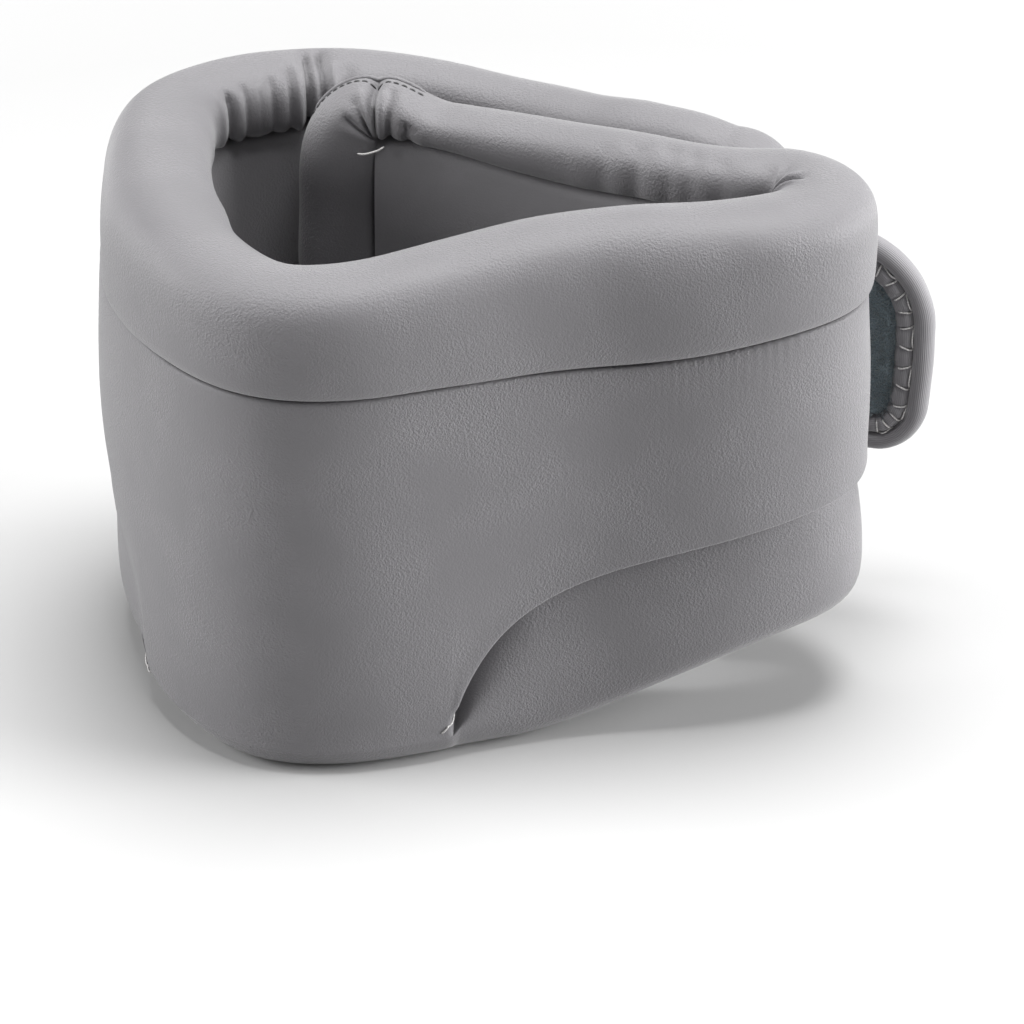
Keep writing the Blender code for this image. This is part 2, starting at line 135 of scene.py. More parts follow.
def place(s, n, z):
    """Points of the strip in the plan's own frame, in millimetres."""
    x, y, along_x, along_y = (np.interp(s, CURVE[0], values) for values in CURVE[1:])
    size = np.hypot(along_x, along_y)
    return np.stack(np.broadcast_arrays(x + n * along_y / size, y - n * along_x / size, z), -1)


def top(s):
    """Height of the crest, with the sag and the corner of the left wing."""
    right = 3.0 * ease(s, 150, 256)
    left = 4.2 * ease(-s, 130, 190) - 1.2 * window(-s, 218.0, 226.0, 16.0) + 4.5 * ease(-s, 230, 258)
    return 120.0 + 7.0 * ease(abs(s), 0, 90) - right - left


def upper_seam(s):
    return 94.5 + 6.5 * ease(abs(s), 75, 135) - 4.0 * ease(abs(s), 150, 220)


def lower_seam(s):
    away = np.maximum(abs(s) - SEAM_START, 0.0)
    high = 33.0 * (1.0 - np.exp(-away / 10.0)) + 0.24 * away
    return high + (WING_SEAM - high) * ease(abs(s), 130, 185)


def bottom(s):
    arch = 23.0 * ease(abs(s), 50, 130) * (1.0 - ease(abs(s), 130, 190))
    return np.maximum(arch, LEFT_CORNER_LIFT * ease(-s, 0, 36) * (1.0 - ease(-s, 130, 190)))


def half_between(front, wing, s):
    """Half thickness that eases from the front to the thinner wings."""
    return front + (wing - front) * ease(abs(s), *THINNING)


def inner_seam(s):
    drop = INNER_SEAM_DROP - CORNER_NARROWING * ease(s, 190.0, 244.0)
    return top(s) - half_between(ROLL_FRONT, ROLL_WING, s) - drop


def joint(name):
    return next(j for j in frame["joints"] if j["name"] == name)


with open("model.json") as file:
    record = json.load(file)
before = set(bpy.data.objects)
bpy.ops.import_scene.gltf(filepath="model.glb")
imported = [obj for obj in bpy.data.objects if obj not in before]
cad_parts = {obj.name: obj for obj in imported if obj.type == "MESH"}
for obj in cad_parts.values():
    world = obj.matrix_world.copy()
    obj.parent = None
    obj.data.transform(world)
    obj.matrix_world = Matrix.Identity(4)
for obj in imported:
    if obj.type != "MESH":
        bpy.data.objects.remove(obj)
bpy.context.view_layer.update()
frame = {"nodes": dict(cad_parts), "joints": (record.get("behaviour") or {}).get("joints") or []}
ORIGIN = place(-TONGUE_HALF, ROLL_FRONT, 0.0) * MM - np.array(joint("left_side_bend")["pos_m"])


def to_frame(points):
    """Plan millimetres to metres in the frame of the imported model."""
    return points * MM - ORIGIN


# ---------------------------------------------------------------- swept skins


def row_weights(count, rows):
    """Weights of the control points at evenly spaced rows of a clamped cubic B-spline."""
    knots = np.concatenate([np.zeros(3), np.linspace(0.0, 1.0, count - 2), np.ones(3)])
    at = np.linspace(0.0, 1.0 - 1e-9, rows)[:, None]
    weights = ((knots[:-1] <= at) & (at < knots[1:])).astype(float)
    for degree in (1, 2, 3):
        span = knots[degree:] - knots[:-degree]
        share = (at - knots[:-degree]) / np.where(span > 0.0, span, 1.0) * (span > 0.0)
        falling = (1.0 - share[:, 1:]) * (span[1:] > 0.0)
        weights = share[:, :-1] * weights[:, :-1] + falling * weights[:, 1:]
    return weights


def swept(controls, rows):
    """Smooth rows from control rows; each control is (s, n, z), numbers or columns."""
    stacked = [np.stack(np.broadcast_arrays(*control), -1) for control in controls]
    stacked = np.stack(np.broadcast_arrays(*stacked))
    return np.tensordot(row_weights(len(controls), rows), stacked, 1)


def grid_normals(points):
    """Unit normals of a grid of points, from its rows and columns."""
    down = np.gradient(points, axis=0)
    along = np.gradient(points, axis=1)
    normal = np.cross(down, along)
    size = np.linalg.norm(normal, axis=-1, keepdims=True)
    return normal / np.maximum(size, 1e-12)


def ripple(across, along, length, seed):
    """Soft random waves of about one length, from -1 to 1."""
    random = np.random.default_rng(seed)
    total = 0.0
    for _ in range(10):
        angle, phase = random.uniform(0.0, 2.0 * math.pi, 2)
        scale = 2.0 * math.pi / (length * random.uniform(0.7, 1.5))
        total = total + np.sin(scale * (across * math.cos(angle) + along * math.sin(angle)) + phase)
    return total / 5.0


def crease(away, depth, width):
    """A fold line that falls away on both sides: sharp where narrow, soft where wide."""
    power = 1.0 if width < SOFT_WIDTH else 2.0
    return -depth * np.exp(-(np.abs(away) / width) ** power)


def window(value, low, high, soft):
    """1 between low and high, fading to 0 outside them."""
    return ease(value, low - soft, low) * (1.0 - ease(value, high, high + soft))


def make_mesh(name, verts, faces, material):
    mesh = bpy.data.meshes.new(name)
    mesh.from_pydata([tuple(v) for v in verts], [], faces)
    mesh.materials.append(material)
    mesh.polygons.foreach_set("use_smooth", [True] * len(mesh.polygons))
    made = bpy.data.objects.new(name, mesh)
    bpy.context.collection.objects.link(made)
    return made


def add_vectors(mesh, name, values):
    """Store one vector for each vertex, for the materials to read."""
    attribute = mesh.attributes.new(name, "FLOAT_VECTOR", "POINT")
    attribute.data.foreach_set("vector", np.asarray(values, np.float32).ravel())


def grid_faces(rows, columns):
    """Quads of a grid, facing out where the rows run down the outer face."""
    i, j = np.meshgrid(np.arange(rows - 1), np.arange(columns - 1), indexing="ij")
    corner = i * columns + j
    quads = np.stack([corner, corner + columns, corner + columns + 1, corner + 1], -1)
    return quads.reshape(-1, 4).tolist()


def grid_object(name, points, normals, cloth, material):
    """A skin from a grid in the frame, with its own normals and cloth coordinates."""
    rows, columns = points.shape[:2]
    flat = points.reshape(-1, 3)
    made = make_mesh(name, flat, grid_faces(rows, columns), material)
    add_vectors(made.data, "rest", flat / MM)
    add_vectors(made.data, "cloth", cloth.reshape(-1, 3))
    made.data.normals_split_custom_set_from_vertices(normals.reshape(-1, 3))
    return made


# Lengths of the strip: name, first and last s, the hinge's bodies, the blend's first and
# last s on the centre line, and the bodies whose CAD nodes the length stands for.
FAR = 999.0
LENGTHS = [
    ("left_wing", -FAR, -74.0, "left_side", "left_wing", -92.0, -142.0, ["left_wing"]),
    ("left_front", -74.0, 0.0, "front", "left_side", -13.0, -73.0, ["left_side"]),
    ("right_front", 0.0, 129.0, "front", "right_side", 13.0, 75.0, ["front", "right_side"]),
    ("right_wing", 129.0, FAR, "right_side", "right_wing", 150.0, 181.0, ["right_wing"]),
]
BLEND_HEIGHT = 60.0


def blend_length(piece, length):
    """Bake a piece's placement into its mesh; the blend's ends are computed but the piece is not bent
    across its hinge.
    """
    body_a, body_b, start, end = length[3:7]
    to_frame(place(start, 0.0, BLEND_HEIGHT))
    to_frame(place(end, 0.0, BLEND_HEIGHT))
    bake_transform(piece)


def add_skin(kind, grid, along, material, stands_for, painted_shade=0.0):
    """Place a swept skin and cut it into its four lengths, each across one hinge."""
    points = to_frame(grid)
    normals = grid_normals(points)
    across = np.cumsum(np.linalg.norm(np.diff(grid, axis=0, prepend=grid[:1]), axis=-1), axis=0)
    # The cloth attribute carries the cloth coordinates and, as its third value, the painted shade of the
    # seams.
    cloth = np.stack(np.broadcast_arrays(along, across, painted_shade), -1)
    for length in LENGTHS:
        name, first, last, bodies = length[0], length[1], length[2], length[-1]
        keep = (along >= first - 1e-6) & (along <= last + 1e-6)
        piece = grid_object(f"{name}_{kind}", points[:, keep], normals[:, keep], cloth[:, keep],
                            material)
        nodes = [f"{body}_{node}" for body in bodies for node in stands_for]
        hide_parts(*[node for node in nodes if node in frame["nodes"]])
        blend_length(piece, length)


class Surface:
    """A placed skin, for laying small parts on: along is a distance, share goes across."""

    def __init__(self, grid, along):
        self.points = to_frame(grid)
        self.normals = grid_normals(self.points)
        self.along = along

    def at(self, along, share, lift=0.0):
        """The point lift mm above the skin."""
        column = float(np.interp(along, self.along, np.arange(len(self.along))))
        row = share * (len(self.points) - 1)
        i, j = min(int(row), len(self.points) - 2), min(int(column), len(self.along) - 2)
        u, v = row - i, column - j
        raised = self.points[i:i + 2, j:j + 2] + self.normals[i:i + 2, j:j + 2] * lift * MM
        return (raised[0] * (1.0 - u) + raised[1] * u).T @ np.array([1.0 - v, v])


def columns_between(first, last):
    """Evenly spaced columns that fall exactly on the ends of every length."""
    stops = [first] + [length[2] for length in LENGTHS if first < length[2] < last] + [last]
    parts = []
    for low, high in zip(stops, stops[1:]):
        count = max(1, round((high - low) / COLUMN_PITCH))
        parts.append(np.linspace(low, high, count, endpoint=False))
    return np.concatenate(parts + [[last]])


# ---------------------------------------------------------------- top roll and wing ends

CORNER_DROP = 30.0
CORNER_RISE = 5.0
CORNER_SQUARE = 0.85
END_FOOT = 10.0
LEFT_OUTER_SLACK = 3.2

# Folds where the strip bends or ends.  Each is (s, depth, half width, first and last share
# of the roll's section that it crosses, lean); shares run from the inner seam, 0, over the
# crest, CREST_SHARE, to the outer seam, 1.
CREST_SHARE = 6.0 / 14.0
FRONT_INNER_SWELL = 2.6
FOLDS = [
    (-107.5, 1.9, 1.5, 0.00, 0.27, 14.0), (-113.5, 1.0, 1.5, 0.06, 0.29, 14.0),
    (-118.0, 0.7, 1.3, 0.08, 0.31, 16.0), (-122.0, 1.1, 1.4, 0.06, 0.30, 12.0),
    (-127.5, 0.9, 1.5, 0.06, 0.33, 9.0), (-133.0, 3.6, 1.2, 0.00, 0.40, 6.0),
    (-136.8, 3.2, 1.1, 0.00, 0.41, 2.0), (-143.0, 0.7, 2.2, 0.05, 0.33, 3.0),
    (133.5, 5.6, 1.3, 0.00, 0.33, 0.0), (143.0, 0.6, 1.8, 0.05, 0.33, 2.0),
    (152.0, 0.4, 2.4, 0.13, 0.33, 9.0), (160.5, 0.7, 2.3, 0.12, 0.34, 20.0),
    (166.5, 0.8, 2.1, 0.11, 0.36, 26.0), (171.5, 0.7, 2.0, 0.13, 0.37, 32.0),
    (179.0, 0.7, 2.4, 0.12, 0.34, 24.0), (187.0, 0.4, 2.6, 0.12, 0.32, 20.0),
]
# Puckers of the right wing's inner corner, as (distance past the end seam, depth, half
# width, first and last share)
PUCKERS = [
    (1.6, 3.6, 1.2, 0.02, 0.42), (-3.2, 1.5, 1.2, 0.02, 0.37), (6.5, 1.3, 1.4, 0.02, 0.30),
    (-8.0, 0.9, 1.4, 0.02, 0.20), (12.0, 0.8, 1.6, 0.02, 0.22),
]


def end_columns(side):
    """Path of the roll round a wing's end: outer seam, crest and inner seam as (s, z)."""
    tip = RIGHT_TIP if side > 0 else LEFT_TIP
    seam = tip - END_ROLL
    wide = END_ROLL + (END_STAND if side > 0 else 0.0)
    crest = float(top(side * seam)) + (CORNER_RISE if side > 0 else 0.0)
    outer, inner = float(upper_seam(side * seam)), float(inner_seam(side * seam))
    knee = crest - CORNER_DROP
    turn = np.radians(np.linspace(0.0, 90.0, 40))[1:]
    reach = wide * np.sin(turn) ** CORNER_SQUARE
    high = knee + CORNER_DROP * np.cos(turn) ** CORNER_SQUARE
    slide = ease(turn, math.radians(35.0), math.radians(90.0))
    rows = [np.stack([seam + 0.0 * turn, outer + (min(outer, knee) - outer) * slide,
                      seam + reach, high,
                      seam + 0.0 * turn, inner + (knee - inner) * slide])]
    z = np.arange(knee, END_FOOT, -1.5)[1:]
    edge = np.full_like(z, seam + wide)
    rows.append(np.stack([z * 0.0 + seam, np.minimum(z, outer), edge, z, z * 0.0 + seam, z]))
    turn = np.radians(np.linspace(90.0, 0.0, 14))
    reach = wide * np.sin(turn) ** CORNER_SQUARE
    low = END_FOOT - END_FOOT * np.cos(turn) ** CORNER_SQUARE
    rows.append(np.stack([seam + 0.0 * turn, END_FOOT + 0.0 * turn, seam + reach, low,
                          seam + 0.0 * turn, END_FOOT + 0.0 * turn]))
    path = np.concatenate(rows, axis=1)
    path[0::2] *= side
    return path


def fold_depth(along, share, folds):
    """How far the folds press the skin in; lean slants a fold along its length."""
    total = 0.0
    for at, depth, width, first, last, lean in folds:
        away = along - at - lean * (share - 0.2) ** 2 * np.sign(at)
        total = total + crease(away, depth, width) * window(share, first, last, 0.06)
        swell = 0.25 * depth * np.exp(-(np.abs(away) / width - 2.6) ** 2)
        total = total + swell * window(share, first, min(last, 0.33), 0.06)
    return total


def roll_path():
    """Outer seam, crest and inner seam of the roll along the whole strip and both ends."""
    s = columns_between(END_ROLL - LEFT_TIP, RIGHT_TIP - END_ROLL)
    crest = top(s) + CORNER_RISE * ease(s, RIGHT_TIP - END_ROLL - 16.0, RIGHT_TIP - END_ROLL)
    straight = np.stack([s, upper_seam(s), s, crest, s, inner_seam(s)])
    left, right = end_columns(-1), end_columns(1)
    path = np.concatenate([left[:, ::-1], straight, right], axis=1)
    step = np.hypot(np.diff(path[2]), np.diff(path[3]))
    along = np.concatenate([[0.0], np.cumsum(step)])
    along += s[0] - along[left.shape[1]]
    inside = slice(left.shape[1], left.shape[1] + len(s))
    past_start = along[inside.stop - 1]
    along[inside] = s
    along[inside.stop:] += s[-1] - past_start
    return path, along


def roll_controls(path):
    """Control rows of the roll's section, from the inner seam over the crest to the outer."""
    outer_s, outer_z, crest_s, crest_z, inner_s, inner_z = path
    half = half_between(ROLL_FRONT, ROLL_WING, crest_s) - 0.1
    bulge = half - LEFT_OUTER_SLACK * window(-crest_s, 75.0, 130.0, 30.0)
    seam = half_between(PANEL_FRONT, PANEL_WING, crest_s) - 5.0

    def on(side_s, side_z, share, n):
        return side_s + (crest_s - side_s) * share, n, side_z + (crest_z - side_z) * share

    edge = seam + 4.9
    square = 0.88 + 0.07 * window(crest_s, 112.0, 145.0, 14.0)
    fat = half + FRONT_INNER_SWELL * window(-crest_s, 45.0, 82.0, 20.0)
    outer = [(0.006, seam), (0.004, edge - 2.2), (0.004, edge - 0.5), (0.016, edge + 0.5),
             (0.07, bulge - 0.1), (0.30, bulge + 0.2), (0.58, bulge), (0.82, bulge * square),
             (0.965, bulge * 0.55)]
    inner = [(0.95, -half * 0.55), (0.78, -fat * 0.90), (0.48, -fat), (0.14, -fat + 0.1),
             (0.02, -fat + 1.6), (0.01, -fat + 3.4), (0.01, -seam)]
    controls = [on(inner_s, inner_z, share, n) for share, n in reversed(inner)]
    controls.append(on(outer_s, outer_z, 1.02, 0.0))
    controls += [on(outer_s, outer_z, share, n) for share, n in reversed(outer)]
    return controls


def add_roll(material):
    path, along = roll_path()
    grid = swept(roll_controls(path), ROLL_ROWS)
    s, n, z = grid[..., 0], grid[..., 1], grid[..., 2]
    placed = place(s, n, z)
    out = grid_normals(placed)
    share = np.linspace(0.0, 1.0, len(grid))[:, None]
    end_seam = RIGHT_TIP - END_ROLL
    puckers = [(end_seam + past, *rest, 0.0) for past, *rest in PUCKERS]
    push = 0.25 * ripple(z, along, 34.0, 3) + fold_depth(along, share, FOLDS + puckers)
    placed = placed + out * push[..., None]
    # Painted shade: the rows in the inner and outer seams get a painted shadow, darkening the colour where
    # the roll's lips shade the grooves.
    painted_shade = 1.0 - window(share, 0.045, 0.955, 0.02)
    add_skin("roll", placed, along, material,
             ["top_roll_core", "top_roll_cover", "end_core", "end_cover"], painted_shade)
    return Surface(placed, along)


# ---------------------------------------------------------------- wall and lining

SEAM_DEPTH = 3.4
DART_DEPTH = 2.6
TONGUE_ROW = 9.5
GATHER_PITCH, GATHER_HEIGHT = 2.1, 0.22


def seam_row(s):
    """Height of the lower seam, held just above the table on the tongue."""
    over = lower_seam(s) - TONGUE_ROW
    return TONGUE_ROW + 0.5 * (over + np.sqrt(over ** 2 + 4.0))


def wall_columns():
    return columns_between(END_ROLL - LEFT_TIP - 0.4, RIGHT_TIP - END_ROLL + 0.4)


def seam_shape(s):
    """How deep the lower seam is pulled in, and how far its slope stretches heights."""
    depth = (SEAM_DEPTH + DART_DEPTH * window(s, 37.0, 41.0, 16.0)) * ease(abs(s), 35.0, 38.5)
    depth = depth * np.where(s < 0.0, 0.45, 1.0)
    slope = np.gradient(seam_row(s), s)
    return depth, np.minimum(np.sqrt(1.0 + slope ** 2), 3.2)


def wall_controls(s):
    """Control rows from the upper seam down the panel, round the bottom, to the inner seam."""
    panel = half_between(PANEL_FRONT, PANEL_WING, s)
    lower = half_between(LOWER_FRONT, LOWER_WING, s)
    slack = window(-s, 45.0, 140.0, 25.0)
    high, seam, low = upper_seam(s), seam_row(s), bottom(s)
    tall, foot = high - seam, seam - low
    depth, stretch = seam_shape(s)
    lip = np.minimum(depth / SEAM_DEPTH, 1.0)
    edge = panel + 0.3 - 1.2 * slack
    outer = lower - 2.4 * slack
    near = np.minimum(1.6 * stretch, 0.25 * foot)
    round_up = np.minimum(foot, 13.0 + 6.0 * slack)
    panel_rows = [(panel - 5.0, high - 0.3), (panel - 2.2, high - 0.3), (panel - 0.7, high - 0.4),
                  (panel - 0.1, high - 1.3), (panel + 0.1, high - 5.0), (panel + 0.5, high - 11.0),
                  (panel + 1.1, high - 0.42 * tall),
                  (panel + 1.1, high - 0.68 * tall), (edge + 0.3, seam + 4.2 * stretch + 1.0),
                  (edge + 0.5 * lip, seam + 2.0 * near * (1.0 - 0.6 * lip)),
                  (edge + 0.3 * lip, seam + near * (1.0 - 0.9 * lip)),
                  (edge - depth * 0.6, seam + 0.05)]
    seam_rows = [(edge - depth, seam)]
    low_rows = [(edge - depth * 0.92, seam - 0.4 * near), (edge - depth * 0.62, seam - 1.6 * near),
                (outer - 0.15 * depth, seam - 0.42 * foot), (outer * 0.99, low + 0.62 * round_up),
                (outer * 0.90, low + 0.24 * round_up), (outer * 0.55, low - 0.1), (0.0, low),
                (-lower * 0.55, low - 0.1), (-lower * 0.90, low + 0.24 * round_up),
                (-lower * 0.99, low + 0.62 * round_up),
                (-lower, seam - 0.3 * foot), (-edge + 0.5, seam - 1.0), (-edge + 3.5, seam)]
    first = swept([(s, n, z) for n, z in panel_rows + seam_rows], PANEL_ROWS)
    second = swept([(s, n, z) for n, z in seam_rows + low_rows], PANEL_ROWS)
    return np.concatenate([first, second[1:]])


def add_wall(material):
    s = wall_columns()
    grid = wall_controls(s)
    placed = place(grid[..., 0], grid[..., 1], grid[..., 2])
    out = grid_normals(placed)
    below = np.maximum(upper_seam(s) - grid[..., 2], 0.0)
    gathered = window(s, 90.0, 112.0, 8.0) * np.exp(-below / 6.0) * (grid[..., 1] > 0.0)
    gathers = GATHER_HEIGHT * np.abs(np.sin(math.pi * s / GATHER_PITCH)) * gathered
    push = 0.22 * ripple(grid[..., 2], grid[..., 0], 48.0, 8) + gathers
    placed = placed + out * push[..., None]
    placed[..., 2] = np.maximum(placed[..., 2], 0.0)
    share = np.linspace(0.0, 1.0, len(grid))[:, None]
    # Painted shade: the rows tucked under the roll at the upper seam, and the lower seam row by how deep it
    # is pulled in, get a painted shadow in the colour.
    depth, _ = seam_shape(s)
    dart = np.exp(-((share - 0.5) / 0.012) ** 2) * depth / SEAM_DEPTH
    painted_shade = np.clip(1.0 - ease(share, 0.03, 0.06) + dart, 0.0, 1.0)
    add_skin("wall", placed, s, material,
             ["panel_core", "outer_panel", "lower_roll_core", "lower_roll_cover"], painted_shade)
    return Surface(placed, s), grid


def add_lining(material):
    s = wall_columns()
    panel = half_between(PANEL_FRONT, PANEL_WING, s)
    high, low = inner_seam(s), seam_row(s)
    tall = high - low
    rows = [(-panel + 3.5, low), (-panel + 0.6, low + 0.6), (-panel - 0.1, low + 4.0),
            (-panel - 0.7, low + 0.25 * tall), (-panel - 0.9, low + 0.55 * tall),
            (-panel - 0.4, high - 8.0), (-panel + 0.4, high - 3.0), (-panel + 1.6, high - 0.3),
            (-panel + 5.0, high + 0.3)]
    grid = swept([(s, n, z) for n, z in rows], LINING_ROWS)
    placed = place(grid[..., 0], grid[..., 1], grid[..., 2])
    add_skin("inner_skin", placed, s, material, ["lining"])


# ---------------------------------------------------------------- threads

THREAD_RADIUS = 0.2


def tubes(name, paths, radius, material, sides=7):
    """Round threads along smooth paths of four or more points each, all in one piece."""
    verts, faces, cloth = [], [], []
    turn = np.linspace(0.0, 2.0 * math.pi, sides, endpoint=False)
    for path in paths:
        path = np.asarray(path)
        path = row_weights(len(path), 3 * len(path)) @ path
        forward = np.gradient(path, axis=0)
        forward /= np.linalg.norm(forward, axis=1, keepdims=True)
        aside = np.eye(3)[np.argmin(np.abs(path[-1] - path[0]))]
        side = np.cross(forward, aside)
        side /= np.linalg.norm(side, axis=1, keepdims=True)
        lift = np.cross(side, forward)
        size = np.full(len(path), radius * MM)
        size[[0, -1]] *= 0.4
        ring = side[:, None] * np.cos(turn)[:, None] + lift[:, None] * np.sin(turn)[:, None]
        first = len(verts)
        verts += list((path[:, None] + ring * size[:, None, None]).reshape(-1, 3))
        steps = np.linalg.norm(np.diff(path, axis=0), axis=1)
        length = np.concatenate([[0.0], np.cumsum(steps)]) / MM
        cloth += [(distance, radius * angle, 0.0) for distance in length for angle in turn]
        for i in range(len(path) - 1):
            for j in range(sides):
                k = (j + 1) % sides
                a, b = first + i * sides, first + (i + 1) * sides
                faces.append((a + j, a + k, b + k, b + j))
        last = first + (len(path) - 1) * sides
        faces.append(tuple(first + j for j in reversed(range(sides))))
        faces.append(tuple(last + j for j in range(sides)))
    made = make_mesh(name, verts, faces, material)
    add_vectors(made.data, "cloth", cloth)
    return made


def stitch(surface, start, end, lift=0.15, dip=0.6):
    """Path of one stitch that comes out of a skin at start and goes back in at end."""
    (along_a, share_a), (along_b, share_b) = start, end
    steps = [(0.0, -dip), (0.02, lift * 0.6), (0.35, lift), (0.65, lift), (0.98, lift * 0.6),
             (1.0, -dip)]
    return [surface.at(along_a + (along_b - along_a) * t, share_a + (share_b - share_a) * t, height)
            for t, height in steps]


RIDGE_START, RIDGE_END = -9.5, 20.0
RIDGE_PITCH = 1.9


def add_end_ridge(roll, cover, thread):
    """The sewn ridge along the crest of the inner wing's corner, and its stitches."""
    seam = RIGHT_TIP - END_ROLL
    stops = np.linspace(seam + RIDGE_START, seam + RIDGE_END, 40)
    fade = window(stops, stops[4], stops[-5], 6.0)
    path = [roll.at(at, CREST_SHARE + 0.03, 0.15 * level - 0.5 * (1.0 - level))
            for at, level in zip(stops, fade)]
    ridge = tubes("corner_ridge", [path], 0.5, cover, sides=10)
    add_vectors(ridge.data, "rest", [vertex.co / MM for vertex in ridge.data.vertices])
    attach(ridge, "right_wing")
    paths = [stitch(roll, (at, CREST_SHARE - 0.005), (at + 1.2, CREST_SHARE - 0.005), lift=0.05)
             for at in np.arange(seam + RIDGE_START, seam + RIDGE_END, RIDGE_PITCH)]
    stitches = tubes("corner_ridge_stitches", paths, 0.27, thread)
    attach(stitches, "right_wing")


def add_loose_ends(wall, thread):
    """Thread ends left at the inner corner and at the two darts of the lower seam."""
    seam, n = RIGHT_TIP - END_ROLL, PANEL_WING + 1.4
    high = float(inner_seam(seam)) - 1.4
    corner = [(seam + 4.2, n + 0.8, high - 0.9), (seam + 3.0, n + 0.9, high - 1.1),
              (seam + 1.6, n + 0.4, high - 0.9), (seam + 0.2, n, high - 0.6),
              (seam - 1.2, n, high), (seam - 2.2, n - 0.8, high + 0.6)]
    path = [to_frame(place(s, -out, z)) for s, out, z in corner]
    made = tubes("corner_thread", [path], 0.26, thread)
    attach(made, "right_wing")
    for side, name in ((1.0, "right"), (-1.0, "left")):
        paths = [stitch(wall, (side * 34.2, 0.52), (side * 37.4, 0.507), lift=0.35),
                 stitch(wall, (side * 34.8, 0.515), (side * 33.0, 0.545), lift=0.3)]
        made = tubes(name + "_dart_thread", paths, 0.2, thread)
        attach(made, "front")


# ---------------------------------------------------------------- closure tab

TAB_ROOT = 1.0
SLEEVE_END = 3.2
TAB_PITCH = 0.35
BINDING_ROWS, TAIL_ROWS, FAN_ROWS = 110, 160, 90
EDGE_WIDTH = 4.5
PUFF_PITCH = 5.4
# Enough points on a corner that rows well inside the edge don't fold back on themselves
CORNER_POINTS = 91


def tab_place(a, n, z):
    """Plan point of the tab: a runs straight on from the left wing's tip."""
    root = place(-LEFT_TIP, 0.0, 0.0)
    out = place(-LEFT_TIP, 1.0, 0.0) - root
    along = np.array([-out[1], out[0], 0.0])
    along *= np.sign(along[0])
    a, n, z = np.broadcast_arrays(a, n, z)
    return root + a[..., None] * along + n[..., None] * out + z[..., None] * np.array([0.0, 0.0, 1.0])


def tab_edge():
    """Distance, (a, z) points and inward directions from the tab's lower root to its upper."""
    corners = []
    for side, radius in ((-1.0, TAB_LOWER_CORNER), (1.0, TAB_UPPER_CORNER)):
        turn = np.radians(np.linspace(0.0, 90.0, CORNER_POINTS))[::int(-side)]
        z = TAB_MIDDLE + side * (TAB_WIDTH / 2.0 - radius + radius * np.cos(turn))
        corners.append(np.stack([TAB_LENGTH - radius + radius * np.sin(turn), z], -1))
    ends = [[(TAB_ROOT, TAB_MIDDLE + side * TAB_WIDTH / 2.0)] for side in (-1.0, 1.0)]
    points = np.concatenate([ends[0], *corners, ends[1]])
    length = np.concatenate([[0.0], np.cumsum(np.hypot(*np.diff(points, axis=0).T))])
    distance = np.linspace(0.0, length[-1], round(length[-1] / TAB_PITCH) + 1)
    line = np.stack([np.interp(distance, length, points[:, i]) for i in (0, 1)], -1)
    slant = TAB_SLANT * ease(TAB_MIDDLE - line[:, 1], 0.0, TAB_WIDTH / 2.0)
    line[:, 0] -= slant * line[:, 0] / TAB_LENGTH
    along = np.gradient(line, axis=0)
    along /= np.linalg.norm(along, axis=1, keepdims=True)
    return distance, line, np.stack([-along[:, 1], along[:, 0]], -1)


def tab_skin(name, inset, n, cloth, material, node):
    """A tab piece from its insets and its n, both as rows by columns along the edge."""
    _, line, inward = tab_edge()
    spot = line + inset[..., None] * inward
    points = to_frame(tab_place(spot[..., 0], n, spot[..., 1]))
    piece = grid_object(name, points, grid_normals(points), cloth, material)
    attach(piece, "closure_tab")
    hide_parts(node)
    return piece


def binding_puffs(distance, inset):
    """Heights of the quilted ring between the binding's stitches."""
    wave = np.abs(np.sin(math.pi * distance / PUFF_PITCH))
    return 0.75 * (wave ** 0.45 - 1.0) * window(inset, EDGE_WIDTH + 0.7, TAB_BINDING + 1.0, 0.7)


def add_binding(material):
    """Rolled knit edge of the tab, with a quilted ring inside it on the skin side."""
    distance, _, _ = tab_edge()
    deep = TAB_THICKNESS
    ring = [(TAB_BINDING + 0.9, -1.7), (TAB_BINDING + 0.5, -0.7), (TAB_BINDING + 0.2, 0.1),
            (7.4, 0.65), (6.2, 0.75), (5.3, 0.55), (4.9, -0.1), (EDGE_WIDTH, -0.8)]
    rim = [(EDGE_WIDTH, -0.8), (4.2, 0.1), (3.4, 0.7), (2.0, 0.75), (0.7, 0.2), (-0.1, -0.9),
           (-0.2, -0.5 * deep), (-0.1, 0.9 - deep), (0.9, 0.1 - deep), (2.6, -0.1 - deep),
           (4.2, 0.2 - deep), (5.0, 0.9 - deep)]
    turned_in = [(5.4, 0.9 - deep), (6.2, 0.3 - deep), (7.8, 0.5 - deep),
                 (TAB_BINDING + 0.6, 1.4 - deep)]
    section = ring + rim + turned_in
    rows = swept([(inset, height, distance) for inset, height in section], BINDING_ROWS)
    inset, height = rows[..., 0], rows[..., 1]
    front = height > -0.5 * deep
    height = height + np.where(front, binding_puffs(distance, inset), 0.0)
    height = height + 0.12 * ripple(inset, distance, 9.0, 21)
    across = np.cumsum(np.hypot(np.diff(inset, axis=0, prepend=inset[:1]),
                                np.diff(rows[..., 1], axis=0, prepend=rows[:1, :, 1])), axis=0)
    cloth = np.stack(np.broadcast_arrays(distance, across, 0.0), -1)
    piece = tab_skin("tab_binding", inset, TAB_INNER_FACE - height, cloth, material, "tab_knit_binding")


def tab_fan(rise):
    """Rows that shrink from inside the binding to the middle of the root, with heights."""
    distance, line, inward = tab_edge()
    share = np.linspace(1.0, 0.0, FAN_ROWS)[:, None]
    start = line + (TAB_BINDING + 0.6) * inward
    centre = np.array([TAB_ROOT, TAB_MIDDLE])
    spot = centre + (start - centre) * share[..., None]
    return spot, np.broadcast_to(rise(share), (len(share), len(distance)))


